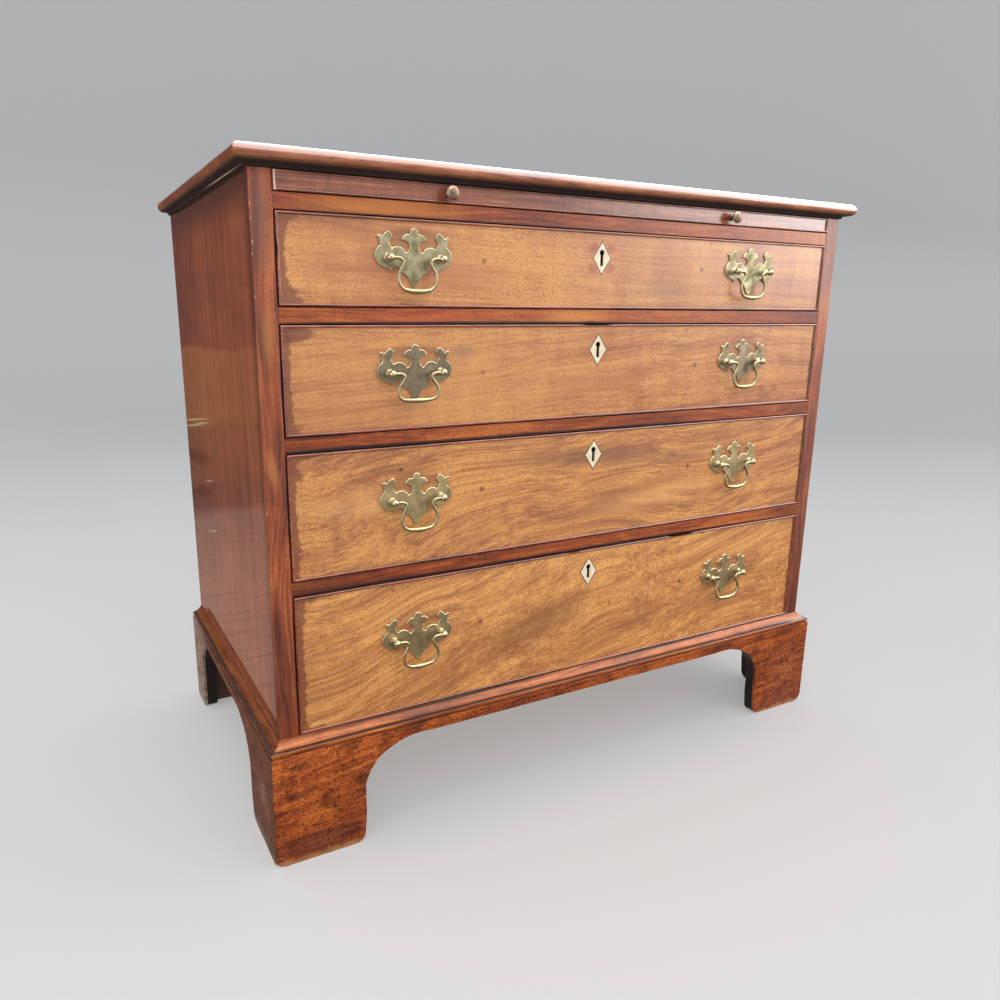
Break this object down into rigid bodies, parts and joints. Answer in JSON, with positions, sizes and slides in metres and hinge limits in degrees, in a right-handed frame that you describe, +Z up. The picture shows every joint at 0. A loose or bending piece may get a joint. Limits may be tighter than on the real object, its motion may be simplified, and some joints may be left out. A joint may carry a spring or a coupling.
{
  "type": "bachelors chest of drawers",
  "caption": "Low mahogany chest with graduated long drawers under a pull-out brushing slide, brass bail handles, bone keyhole diamonds and bracket feet.",
  "frame": {"origin": "middle of the top board on plan, on the floor under the feet", "axes": "+X to the chest's left-hand side as it faces you, that is to the viewer's right; -Y the front, where the drawers pull out; +Z up"},
  "size_m": [0.9146, 0.5114, 0.807],
  "materials": {
    "mahogany_carcase": "waxed dark red-brown mahogany",
    "mahogany_top": "waxed red-brown mahogany",
    "mahogany_base": "waxed orange-brown mahogany, worn at the feet",
    "mahogany_drawer": "faded golden mahogany, waxed",
    "mahogany_bead": "dark polished mahogany",
    "oak": "dry unfinished oak",
    "pine": "dry aged pine",
    "brass": "aged cast brass with polished edges",
    "lock_brass": "dull brass",
    "bone": "polished bone"
  },
  "bodies": {
    "carcase": {"carcase_side_left": "mahogany_carcase", "carcase_side_right": "mahogany_carcase", "facing_strips": "mahogany_carcase", "top_board": "mahogany_top", "bottom_board": "pine", "back_boards": "pine", "drawer_rails": "mahogany_carcase", "dustboards": "pine", "drawer_runners": "pine", "base_mouldings": "mahogany_base", "plinth_front": "mahogany_base", "plinth_sides": "mahogany_base", "rear_brackets": "pine", "glue_blocks": "pine", "drawer_stops": "pine"},
    "slide": {"slide_board": "pine", "slide_cleats": "mahogany_carcase", "slide_lipping": "mahogany_carcase", "slide_cockbead": "mahogany_carcase", "slide_knobs": "brass"},
    "drawer1": {"drawer1_front": "mahogany_drawer", "drawer1_cockbead": "mahogany_bead", "drawer1_linings": "oak", "drawer1_escutcheon": "bone", "drawer1_lock": "lock_brass", "drawer1_backplates": "brass", "drawer1_posts": "brass"},
    "drawer1_bolt": {"drawer1_lock_bolt": "lock_brass"},
    "drawer1_left_bail": {"drawer1_bail_left": "brass"},
    "drawer1_right_bail": {"drawer1_bail_right": "brass"},
    "drawer2": {"drawer2_front": "mahogany_drawer", "drawer2_cockbead": "mahogany_bead", "drawer2_linings": "oak", "drawer2_escutcheon": "bone", "drawer2_lock": "lock_brass", "drawer2_backplates": "brass", "drawer2_posts": "brass"},
    "drawer2_bolt": {"drawer2_lock_bolt": "lock_brass"},
    "drawer2_left_bail": {"drawer2_bail_left": "brass"},
    "drawer2_right_bail": {"drawer2_bail_right": "brass"},
    "drawer3": {"drawer3_front": "mahogany_drawer", "drawer3_cockbead": "mahogany_bead", "drawer3_linings": "oak", "drawer3_escutcheon": "bone", "drawer3_lock": "lock_brass", "drawer3_backplates": "brass", "drawer3_posts": "brass"},
    "drawer3_bolt": {"drawer3_lock_bolt": "lock_brass"},
    "drawer3_left_bail": {"drawer3_bail_left": "brass"},
    "drawer3_right_bail": {"drawer3_bail_right": "brass"},
    "drawer4": {"drawer4_front": "mahogany_drawer", "drawer4_cockbead": "mahogany_bead", "drawer4_linings": "oak", "drawer4_escutcheon": "bone", "drawer4_lock": "lock_brass", "drawer4_backplates": "brass", "drawer4_posts": "brass"},
    "drawer4_bolt": {"drawer4_lock_bolt": "lock_brass"},
    "drawer4_left_bail": {"drawer4_bail_left": "brass"},
    "drawer4_right_bail": {"drawer4_bail_right": "brass"}
  },
  "joints": [
    {"name": "slide_draw", "type": "slide", "parent": "carcase", "child": "slide", "axis": [0, -1, 0], "range_m": [0, 0.28]},
    {"name": "drawer1_draw", "type": "slide", "parent": "carcase", "child": "drawer1", "axis": [0, -1, 0], "range_m": [0, 0.36]},
    {"name": "drawer1_bolt_throw", "type": "slide", "parent": "drawer1", "child": "drawer1_bolt", "axis": [0, 0, 1], "range_m": [0, 0.008]},
    {"name": "drawer1_left_bail_swing", "type": "hinge", "parent": "drawer1", "child": "drawer1_left_bail", "pos_m": [-0.261, -0.24835, 0.7055], "axis": [-1, 0, 0], "range_deg": [-10, 180]},
    {"name": "drawer1_right_bail_swing", "type": "hinge", "parent": "drawer1", "child": "drawer1_right_bail", "pos_m": [0.261, -0.24835, 0.7055], "axis": [-1, 0, 0], "range_deg": [-10, 180]},
    {"name": "drawer2_draw", "type": "slide", "parent": "carcase", "child": "drawer2", "axis": [0, -1, 0], "range_m": [0, 0.36]},
    {"name": "drawer2_bolt_throw", "type": "slide", "parent": "drawer2", "child": "drawer2_bolt", "axis": [0, 0, 1], "range_m": [0, 0.008]},
    {"name": "drawer2_left_bail_swing", "type": "hinge", "parent": "drawer2", "child": "drawer2_left_bail", "pos_m": [-0.261, -0.24835, 0.5802], "axis": [-1, 0, 0], "range_deg": [-10, 180]},
    {"name": "drawer2_right_bail_swing", "type": "hinge", "parent": "drawer2", "child": "drawer2_right_bail", "pos_m": [0.261, -0.24835, 0.5802], "axis": [-1, 0, 0], "range_deg": [-10, 180]},
    {"name": "drawer3_draw", "type": "slide", "parent": "carcase", "child": "drawer3", "axis": [0, -1, 0], "range_m": [0, 0.36]},
    {"name": "drawer3_bolt_throw", "type": "slide", "parent": "drawer3", "child": "drawer3_bolt", "axis": [0, 0, 1], "range_m": [0, 0.008]},
    {"name": "drawer3_left_bail_swing", "type": "hinge", "parent": "drawer3", "child": "drawer3_left_bail", "pos_m": [-0.261, -0.24835, 0.431], "axis": [-1, 0, 0], "range_deg": [-10, 180]},
    {"name": "drawer3_right_bail_swing", "type": "hinge", "parent": "drawer3", "child": "drawer3_right_bail", "pos_m": [0.261, -0.24835, 0.431], "axis": [-1, 0, 0], "range_deg": [-10, 180]},
    {"name": "drawer4_draw", "type": "slide", "parent": "carcase", "child": "drawer4", "axis": [0, -1, 0], "range_m": [0, 0.36]},
    {"name": "drawer4_bolt_throw", "type": "slide", "parent": "drawer4", "child": "drawer4_bolt", "axis": [0, 0, 1], "range_m": [0, 0.008]},
    {"name": "drawer4_left_bail_swing", "type": "hinge", "parent": "drawer4", "child": "drawer4_left_bail", "pos_m": [-0.261, -0.24835, 0.255], "axis": [-1, 0, 0], "range_deg": [-10, 180]},
    {"name": "drawer4_right_bail_swing", "type": "hinge", "parent": "drawer4", "child": "drawer4_right_bail", "pos_m": [0.261, -0.24835, 0.255], "axis": [-1, 0, 0], "range_deg": [-10, 180]}
  ]
}
